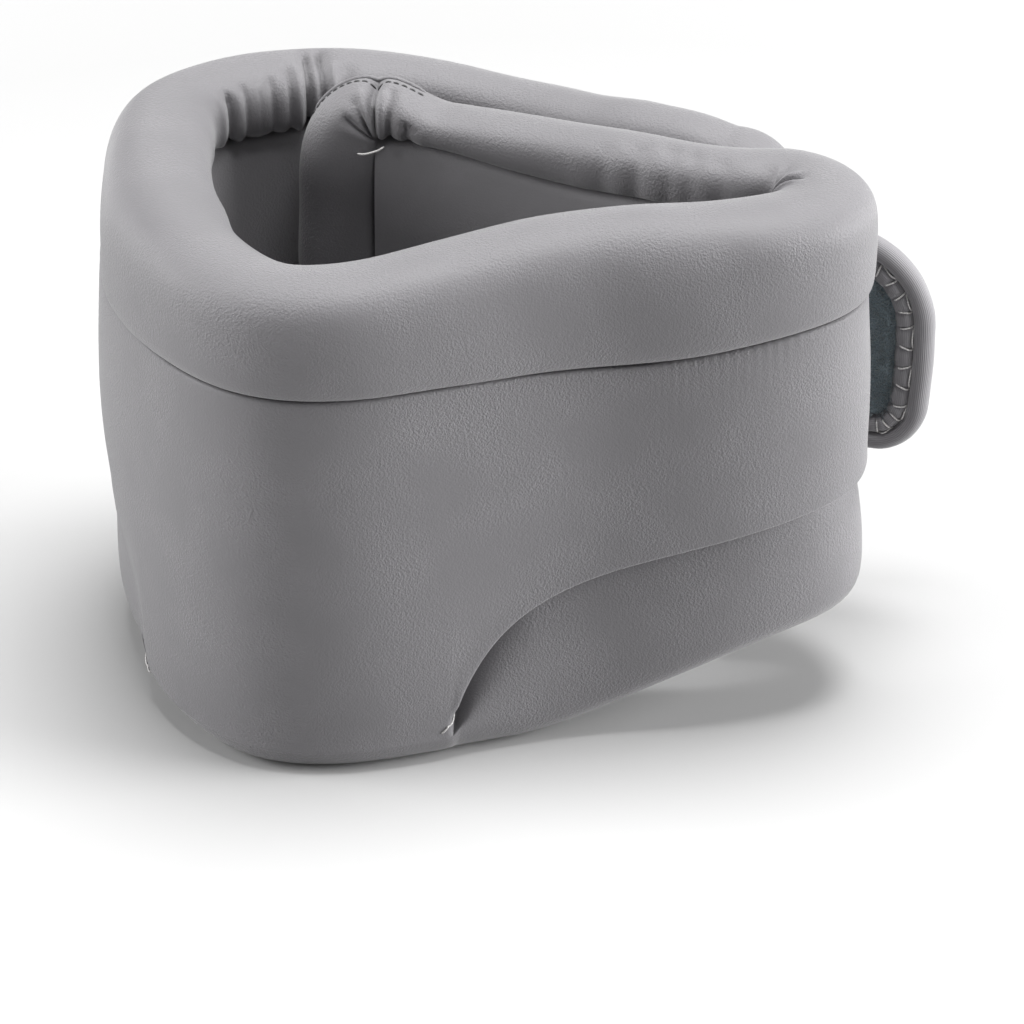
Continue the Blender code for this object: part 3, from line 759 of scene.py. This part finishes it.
def add_fan(name, rise, material, node):
    """A flat tab piece that fills the binding's ring, with its own height profile."""
    spot, height = tab_fan(rise)
    a, z = spot[..., 0], spot[..., 1]
    rough = 0.05 * ripple(a, z, 1.6, 31) + 0.08 * ripple(a, z, 7.0, 32)
    points = to_frame(tab_place(a, TAB_INNER_FACE - height - rough, z))
    on_outer_face = height.mean() < -0.5 * TAB_THICKNESS
    if on_outer_face:
        points, spot = points[::-1], spot[::-1]
    cloth = np.concatenate([spot, np.zeros_like(spot[..., :1])], -1)
    out = tab_place(0.0, 1.0, 0.0) - tab_place(0.0, 0.0, 0.0)
    facing = np.sign((grid_normals(points) @ out).sum())
    piece = grid_object(name, points, np.broadcast_to(facing * out, points.shape), cloth, material)
    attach(piece, "closure_tab")
    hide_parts(node)
    return piece


LOOPS, LOOP_RADIUS = 2600, 0.055


def off_patch(a, z):
    """Whether a point lies past one of the loop patch's rounded corners."""
    for side, radius in ((-1.0, TAB_LOWER_CORNER), (1.0, TAB_UPPER_CORNER)):
        past_a = max(a - (TAB_LENGTH - radius), 0.0)
        past_z = max(side * (z - TAB_MIDDLE) - (TAB_WIDTH / 2.0 - radius), 0.0)
        if math.hypot(past_a, past_z) > radius - TAB_BINDING - 0.3:
            return True
    return False


def add_pile(material):
    """Fine raised loops all over the loop patch."""
    random = np.random.default_rng(5)
    half = TAB_WIDTH / 2.0 - TAB_BINDING - 0.4
    paths = []
    while len(paths) < LOOPS:
        a = random.uniform(TAB_ROOT + 0.3, TAB_LENGTH - TAB_BINDING - 0.4)
        z = TAB_MIDDLE + random.uniform(-half, half)
        if off_patch(a, z):
            continue
        angle = random.uniform(0.0, 2.0 * math.pi)
        reach = random.uniform(0.3, 0.8)
        tall = random.uniform(0.2, 0.55)
        step = np.array([math.cos(angle), math.sin(angle)]) * reach
        curve = [(0.0, -0.3), (0.1, tall), (0.5, tall * 1.3), (0.9, tall), (1.0, -0.3)]
        base = TAB_INNER_FACE + 0.15
        paths.append([to_frame(tab_place(a + step[0] * t, base - h, z + step[1] * t))
                      for t, h in curve])
    pile = tubes("tab_loop_pile", paths, LOOP_RADIUS, material, sides=3)
    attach(pile, "closure_tab")


def add_tab_stitches(material):
    """White stitches across the quilted ring, and the ones between them along its edge."""
    distance, line, inward = tab_edge()

    def on(at, inset, height):
        spot = [np.interp(at, distance, line[:, i] + inset * inward[:, i]) for i in (0, 1)]
        return to_frame(tab_place(spot[0], TAB_INNER_FACE - height, spot[1]))

    paths = []
    for k in range(1, int(distance[-1] / PUFF_PITCH)):
        at = k * PUFF_PITCH
        lean = 0.5 if k % 2 else -0.5
        paths.append([on(at + lean, 7.9, -1.2), on(at + lean, 7.7, 0.35),
                      on(at + 0.4 * lean, 6.6, 0.55), on(at - 0.4 * lean, 5.4, 0.45),
                      on(at - lean, 4.7, 0.0), on(at - lean, 4.5, -1.4)])
        if k % 2:
            paths.append([on(at - lean, 4.6, -1.2), on(at + 0.9, 4.55, 0.25),
                          on(at + 2.1, 4.6, 0.45), on(at + 3.4, 4.55, 0.25),
                          on(at + PUFF_PITCH + lean, 4.6, -1.2)])
    made = tubes("tab_stitches", paths, THREAD_RADIUS, material)
    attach(made, "closure_tab")
    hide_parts("tab_zigzag_thread")


def add_anchor(material, thread):
    """The tab's tail, sewn flat to the outside of the left wing by a zigzag."""
    half = TAB_WIDTH / 2.0 - 4.0
    a = np.linspace(-ANCHOR_LENGTH, SLEEVE_END, 70)
    sleeve = ease(a, -3.5, 0.2)
    closed = 1.0 - ease(a, SLEEVE_END - 0.8, SLEEVE_END)
    sewn_down = ease(a, -ANCHOR_LENGTH - 0.6, -ANCHOR_LENGTH + 1.6)
    thick = (2.2 + 3.4 * sleeve) * sewn_down * (0.72 + 0.28 * closed)
    inner = TAB_INNER_FACE + 0.1 - (1.1 - 0.6 * (1.0 - closed)) * sleeve
    wide = half + 4.7 * sleeve
    section = [(0.0, 0.0), (-0.6, 0.0), (-0.97, 0.0), (-1.0, 0.5), (-0.97, 1.0), (-0.7, 1.1),
               (-0.35, 1.15), (0.0, 1.15), (0.35, 1.15), (0.7, 1.1), (0.97, 1.0), (1.0, 0.5),
               (0.97, 0.0), (0.6, 0.0), (0.0, 0.0)]
    rows = swept([(a, inner + thick * high, TAB_MIDDLE + wide * side) for side, high in section], TAIL_ROWS)
    rows[..., 1] += 0.12 * ripple(rows[..., 0], rows[..., 2], 8.0, 41) * (rows[..., 1] > inner + 1.0)
    points = to_frame(tab_place(rows[..., 0], rows[..., 1], rows[..., 2]))
    cloth = np.stack([rows[..., 2], rows[..., 0], 0.0 * rows[..., 0]], -1)
    tail = grid_object("tab_tail", points, grid_normals(points), cloth, material)
    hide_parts("tab_anchor_tail")
    level = TAB_INNER_FACE
    to_frame(tab_place(-2.5, level, TAB_MIDDLE))
    to_frame(tab_place(1.5, level, TAB_MIDDLE))
    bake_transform(tail)
    heights = np.linspace(TAB_MIDDLE - half + 2.0, TAB_MIDDLE + half - 2.0, 17)
    corners = [(-ANCHOR_LENGTH / 2.0 + (2.0 if i % 2 else -2.0), z) for i, z in enumerate(heights)]
    steps = [(0.0, 1.6), (0.05, 2.6), (0.35, 2.85), (0.65, 2.85), (0.95, 2.6), (1.0, 1.6)]
    paths = []
    for (a0, z0), (a1, z1) in zip(corners, corners[1:]):
        paths.append([to_frame(tab_place(a0 + (a1 - a0) * t, level + n, z0 + (z1 - z0) * t))
                      for t, n in steps])
    stitches = tubes("tab_tail_stitches", paths, 0.24, thread)
    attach(stitches, "left_wing")
    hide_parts("tab_anchor_thread")


def add_tab(knit, backing, loop, thread):
    add_binding(knit)
    deep = TAB_THICKNESS
    back = add_fan("tab_back", lambda share: 0.4 - deep + 0.5 * ease(share, 0.8, 1.0), backing,
                   "tab_backing")
    patch = add_fan("tab_loop_base", lambda share: -0.15 - 1.2 * ease(share, 0.94, 1.0), loop,
                    "tab_loop_patch")
    add_pile(loop)
    add_tab_stitches(thread)
    add_anchor(knit, thread)


# ---------------------------------------------------------------- hook band

HOOK_ROW, HOOK_PITCH = 1.5, 1.1
BAND_PITCH = 0.36
BAND_SEAM_INSET = 5.0
BAND_RISE = 1.3
BAND_STITCH_PITCH, BAND_STITCH = 3.0, 2.5


def add_band(wall_grid, tape, thread):
    """The hook tape sewn along the outside of the right wing, with its two stitch lines."""
    s = np.linspace(BAND_START, BAND_END, round((BAND_END - BAND_START) / BAND_PITCH) + 1)
    z = np.linspace(TAB_MIDDLE + BAND_WIDTH / 2.0, TAB_MIDDLE - BAND_WIDTH / 2.0,
                    round(BAND_WIDTH / BAND_PITCH) + 1)[:, None]
    columns = wall_columns()
    panel = wall_grid[:PANEL_ROWS]
    heights = z[:, 0]
    nearest = np.array([np.interp(heights, column[::-1, 2], column[::-1, 1])
                        for column in panel.transpose(1, 0, 2)]).T
    under = np.array([np.interp(s, columns, row) for row in nearest])
    half = BAND_WIDTH / 2.0 - 0.5
    edge = np.minimum(window(s, BAND_START + 0.5, BAND_END - 0.5, 0.5),
                      window(z, TAB_MIDDLE - half, TAB_MIDDLE + half, 0.5))
    row = z / HOOK_ROW
    hooks = np.maximum(np.sin(2.0 * math.pi * row), 0.0) * (
        0.55 + 0.45 * np.sin(2.0 * math.pi * s / HOOK_PITCH + math.pi * np.floor(row)))
    seam = np.exp(-((np.abs(z - TAB_MIDDLE) - BAND_WIDTH / 2.0 + BAND_SEAM_INSET) / 0.5) ** 2)
    rise = BAND_RISE * edge - 0.4 * (1.0 - edge) + 0.3 * hooks * edge * (1.0 - seam) - 0.25 * seam
    placed = place(s + 0.0 * z, under + rise, z + 0.0 * s)
    cloth = np.stack(np.broadcast_arrays(s, z, 0.0), -1)
    points = to_frame(placed)
    band = grid_object("hook_tape_band", points, grid_normals(points), cloth, tape)
    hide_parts("hook_band")
    blend_length(band, LENGTHS[-1])
    surface = Surface(placed, s)
    for name, side in (("upper", 1.0), ("lower", -1.0)):
        share = (BAND_WIDTH / 2.0 - side * (BAND_WIDTH / 2.0 - BAND_SEAM_INSET)) / BAND_WIDTH
        starts = np.arange(BAND_START + 2.0, BAND_END - 4.0, BAND_STITCH_PITCH)
        paths = [stitch(surface, (at, share), (at + BAND_STITCH, share), lift=0.25) for at in starts]
        made = tubes(f"hook_band_{name}_stitches", paths, THREAD_RADIUS, thread)
        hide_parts(f"hook_band_{name}_stitching")
        blend_length(made, LENGTHS[-1])


# ---------------------------------------------------------------- materials

# Scale of a wave texture whose bands are 1 mm apart
WAVE_UNIT = 0.314


class Nodes:
    """Short calls for building one material's nodes."""

    def __init__(self, name):
        self.material = bpy.data.materials.new(name)
        self.material.use_nodes = True
        self.tree = self.material.node_tree
        self.shader = self.tree.nodes["Principled BSDF"]

    def add(self, kind, inputs=None, **settings):
        node = self.tree.nodes.new(kind)
        for name, value in settings.items():
            setattr(node, name, value)
        for name, value in (inputs or {}).items():
            if isinstance(value, bpy.types.NodeSocket):
                self.tree.links.new(value, node.inputs[name])
            else:
                node.inputs[name].default_value = value
        return node

    def attribute(self, name):
        return self.add("ShaderNodeAttribute", attribute_name=name).outputs["Vector"]

    def ramp(self, value, stops):
        node = self.add("ShaderNodeValToRGB", {"Fac": value})
        elements = node.color_ramp.elements
        while len(elements) < len(stops):
            elements.new(0.5)
        for element, (position, colour) in zip(elements, stops):
            element.position = position
            element.color = (*colour, 1.0)
        return node.outputs["Color"]

    def link(self, value, socket):
        self.tree.links.new(value, self.shader.inputs[socket])

    def bump(self, height, strength, distance):
        """Roughen the surface by a height; distance is in metres."""
        node = self.add("ShaderNodeBump", {"Height": height, "Strength": strength,
                                           "Distance": distance})
        self.link(node.outputs["Normal"], "Normal")

    def finish(self, **values):
        """Set the shader's own sockets, such as Sheen_Weight, and give the material."""
        for name, value in values.items():
            self.shader.inputs[name.replace("_", " ")].default_value = value
        return self.material


def leather(name, colour, grain=1.0):
    """Soft pebbled microfibre leather, mottled and smoother in patches, its colour darkened by painted
    shade in the seams.
    """
    nodes = Nodes(name)
    rest = nodes.attribute("rest")
    pebbles = nodes.add("ShaderNodeTexVoronoi", {"Vector": rest, "Scale": 1.9, "Randomness": 0.9},
                        feature="SMOOTH_F1")
    fine = nodes.add("ShaderNodeTexNoise", {"Vector": rest, "Scale": 3.4, "Detail": 3.0})
    broad = nodes.add("ShaderNodeTexNoise", {"Vector": rest, "Scale": 0.045, "Detail": 2.0})
    height = nodes.add("ShaderNodeMath", {0: pebbles.outputs["Distance"], 1: fine.outputs["Fac"]},
                       operation="ADD")
    worn = nodes.add("ShaderNodeMapRange", {
        "Value": broad.outputs["Fac"], "From Min": 0.35, "From Max": 0.65,
        "To Min": 0.25 * grain, "To Max": 0.8 * grain})
    nodes.bump(height.outputs[0], worn.outputs[0], 0.00024)
    low = tuple(c * 0.93 for c in colour)
    high = tuple(min(1.0, c * 1.05) for c in colour)
    mottled = nodes.ramp(broad.outputs["Fac"], [(0.35, low), (0.65, high)])
    # Painted shade: the cloth attribute's third value mixes the colour towards 0.12 of itself, a painted
    # shadow in the seam grooves.
    seam = nodes.add("ShaderNodeSeparateXYZ", {"Vector": nodes.attribute("cloth")})
    painted_seam_shade = nodes.add("ShaderNodeMix", {"Factor": seam.outputs["Z"]}, data_type="RGBA")
    nodes.tree.links.new(mottled, painted_seam_shade.inputs[6])
    painted_seam_shade.inputs[7].default_value = (*(c * 0.12 for c in colour), 1.0)
    nodes.link(painted_seam_shade.outputs[2], "Base Color")
    return nodes.finish(Roughness=0.55, Sheen_Weight=0.25, Sheen_Roughness=0.5,
                        Specular_IOR_Level=0.35)


def knit(name, colour, rib=0.45):
    """Ribbed knit: fine ribs along the cloth, broken by soft stitches."""
    nodes = Nodes(name)
    cloth = nodes.attribute("cloth")
    ribs = nodes.add("ShaderNodeTexWave", {"Vector": cloth, "Scale": WAVE_UNIT / rib,
                                           "Distortion": 0.6, "Detail": 1.0},
                     wave_type="BANDS", bands_direction="Y")
    loops = nodes.add("ShaderNodeTexVoronoi", {"Vector": cloth, "Scale": 2.4}, feature="F1")
    height = nodes.add("ShaderNodeMath", {0: loops.outputs["Distance"], 1: 0.35, 2: ribs.outputs["Fac"]},
                       operation="MULTIPLY_ADD")
    nodes.bump(height.outputs[0], 0.4, 0.00014)
    dark = tuple(c * 0.8 for c in colour)
    nodes.link(nodes.ramp(ribs.outputs["Fac"], [(0.1, dark), (0.75, colour)]), "Base Color")
    return nodes.finish(Roughness=0.8, Sheen_Weight=0.35)


def loop_pile(name, low, high):
    """Brushed nylon loops: a fine tangle of darker gaps and lighter fibres."""
    nodes = Nodes(name)
    cloth = nodes.attribute("cloth")
    tangle = nodes.add("ShaderNodeTexNoise", {"Vector": cloth, "Scale": 2.2, "Detail": 6.0,
                                              "Roughness": 0.75})
    nodes.bump(tangle.outputs["Fac"], 0.9, 0.0004)
    nodes.link(nodes.ramp(tangle.outputs["Fac"], [(0.36, low), (0.66, high)]), "Base Color")
    return nodes.finish(Roughness=0.85, Sheen_Weight=0.5)


def hook_tape(name, low, high):
    """Woven nylon tape whose rows of hooks are painted lighter in colour, a painted highlight where they
    catch the light.
    """
    nodes = Nodes(name)
    cloth = nodes.attribute("cloth")
    rows = nodes.add("ShaderNodeTexWave", {"Vector": cloth, "Scale": WAVE_UNIT / HOOK_ROW,
                                           "Distortion": 0.0},
                     wave_type="BANDS", bands_direction="Y")
    weave = nodes.add("ShaderNodeTexNoise", {"Vector": cloth, "Scale": 3.0, "Detail": 3.0})
    # Painted highlight: the hook rows' bands lift the colour on top of the weave's tone.
    mixed = nodes.add("ShaderNodeMath", {0: weave.outputs["Fac"], 1: 0.5, 2: rows.outputs["Fac"]},
                      operation="MULTIPLY_ADD")
    nodes.bump(weave.outputs["Fac"], 0.5, 0.0002)
    nodes.link(nodes.ramp(mixed.outputs[0], [(0.3, low), (1.0, high)]), "Base Color")
    return nodes.finish(Roughness=0.42)


def twisted(name, colour):
    """Twisted polyester thread."""
    nodes = Nodes(name)
    cloth = nodes.attribute("cloth")
    twist = nodes.add("ShaderNodeTexWave", {"Vector": cloth, "Scale": 0.9}, wave_type="BANDS",
                      bands_direction="DIAGONAL")
    nodes.bump(twist.outputs["Fac"], 0.5, 0.0001)
    dark = tuple(c * 0.75 for c in colour)
    nodes.link(nodes.ramp(twist.outputs["Fac"], [(0.2, dark), (0.7, colour)]), "Base Color")
    return nodes.finish(Roughness=0.5)


# ---------------------------------------------------------------- stage, light, camera

CAMERA_ELEVATION = 27.6
CAMERA_DISTANCE = 1.2999
CAMERA_TARGET = Vector(to_frame(np.array([54.55, 53.8, 55.0])))
AIM_RIGHT, AIM_UP = -0.00275, -0.02065
LENS = 197.4
LIGHT_SIZE = 0.8
LIGHTS = [("left_light", (-1.1, 0.0, 0.45), 14.0), ("right_light", (1.15, -0.12, 0.38), 25.0),
          ("top_light", (0.1, 0.12, 1.3), 26.0)]
GLOW_START, GLOW_END = 0.35, 1.6
FLOOR_HALF = 3.0
SURROUNDINGS = 0.15


def add_camera():
    """Camera at the photograph's angle and distance."""
    data = bpy.data.cameras.new("camera")
    data.lens = LENS
    data.sensor_width = 36.0
    data.clip_start, data.clip_end = 0.05, 20.0
    camera = bpy.data.objects.new("camera", data)
    bpy.context.collection.objects.link(camera)
    tilt = math.radians(CAMERA_ELEVATION)
    back = Vector((0.0, -math.cos(tilt), math.sin(tilt)))
    up = Vector((0.0, math.sin(tilt), math.cos(tilt)))
    camera.location = CAMERA_TARGET + back * CAMERA_DISTANCE
    aim = CAMERA_TARGET + Vector((AIM_RIGHT, 0.0, 0.0)) + up * AIM_UP
    camera.rotation_euler = (aim - camera.location).to_track_quat("-Z", "Y").to_euler()
    bpy.context.scene.camera = camera


def add_light(name, location, power):
    data = bpy.data.lights.new(name, "AREA")
    data.shape = "DISK"
    data.size = LIGHT_SIZE
    data.energy = power
    light = bpy.data.objects.new(name, data)
    bpy.context.collection.objects.link(light)
    light.location = location
    aim = Vector((0.0, 0.0, 0.05)) - light.location
    light.rotation_euler = aim.to_track_quat("-Z", "Y").to_euler()


def add_stage():
    """Pale floor that glows with distance, soft side and top lights, dim white surroundings."""
    verts = [(x, y, 0.0) for x in (-FLOOR_HALF, FLOOR_HALF) for y in (-FLOOR_HALF, FLOOR_HALF)]
    nodes = Nodes("floor_paint")
    nodes.shader.inputs["Base Color"].default_value = (0.45, 0.45, 0.45, 1.0)
    nodes.shader.inputs["Roughness"].default_value = 0.9
    position = nodes.add("ShaderNodeNewGeometry").outputs["Position"]
    away = nodes.add("ShaderNodeVectorMath", {0: position}, operation="LENGTH")
    glow = nodes.add("ShaderNodeMapRange", {"Value": away.outputs["Value"], "From Min": GLOW_START,
                                            "From Max": GLOW_END, "To Min": 0.0, "To Max": 1.0})
    nodes.shader.inputs["Emission Color"].default_value = (1.0, 1.0, 1.0, 1.0)
    nodes.link(glow.outputs[0], "Emission Strength")
    floor = make_mesh("floor", verts, [(0, 2, 3, 1)], nodes.material)
    for name, location, power in LIGHTS:
        add_light(name, location, power)
    world = bpy.data.worlds.new("surroundings")
    world.use_nodes = True
    background = world.node_tree.nodes["Background"]
    background.inputs["Color"].default_value = (1.0, 1.0, 1.0, 1.0)
    background.inputs["Strength"].default_value = SURROUNDINGS
    bpy.context.scene.world = world
    bpy.context.scene.view_settings.view_transform = "Standard"


COVER_GREY = (0.158, 0.154, 0.162)


def main():
    cover = leather("cover_leather", COVER_GREY)
    lining = leather("lining_leather", (0.215, 0.21, 0.22), grain=0.7)
    thread = twisted("sewing_thread", (0.62, 0.61, 0.60))
    dark_thread = twisted("ridge_thread", (0.035, 0.034, 0.036))
    binding = knit("knit_binding", (0.195, 0.19, 0.20))
    backing = leather("tab_backing_leather", COVER_GREY)
    loop = loop_pile("loop_fabric", (0.05, 0.072, 0.084), (0.25, 0.315, 0.35))
    tape = hook_tape("hook_tape", (0.03, 0.05, 0.06), (0.115, 0.165, 0.19))
    tape_thread = twisted("tape_thread", (0.10, 0.14, 0.165))
    roll = add_roll(cover)
    wall, wall_grid = add_wall(cover)
    add_lining(lining)
    add_end_ridge(roll, cover, dark_thread)
    add_loose_ends(wall, thread)
    add_tab(binding, backing, loop, thread)
    add_band(wall_grid, tape, tape_thread)
    add_stage()
    add_camera()


main()
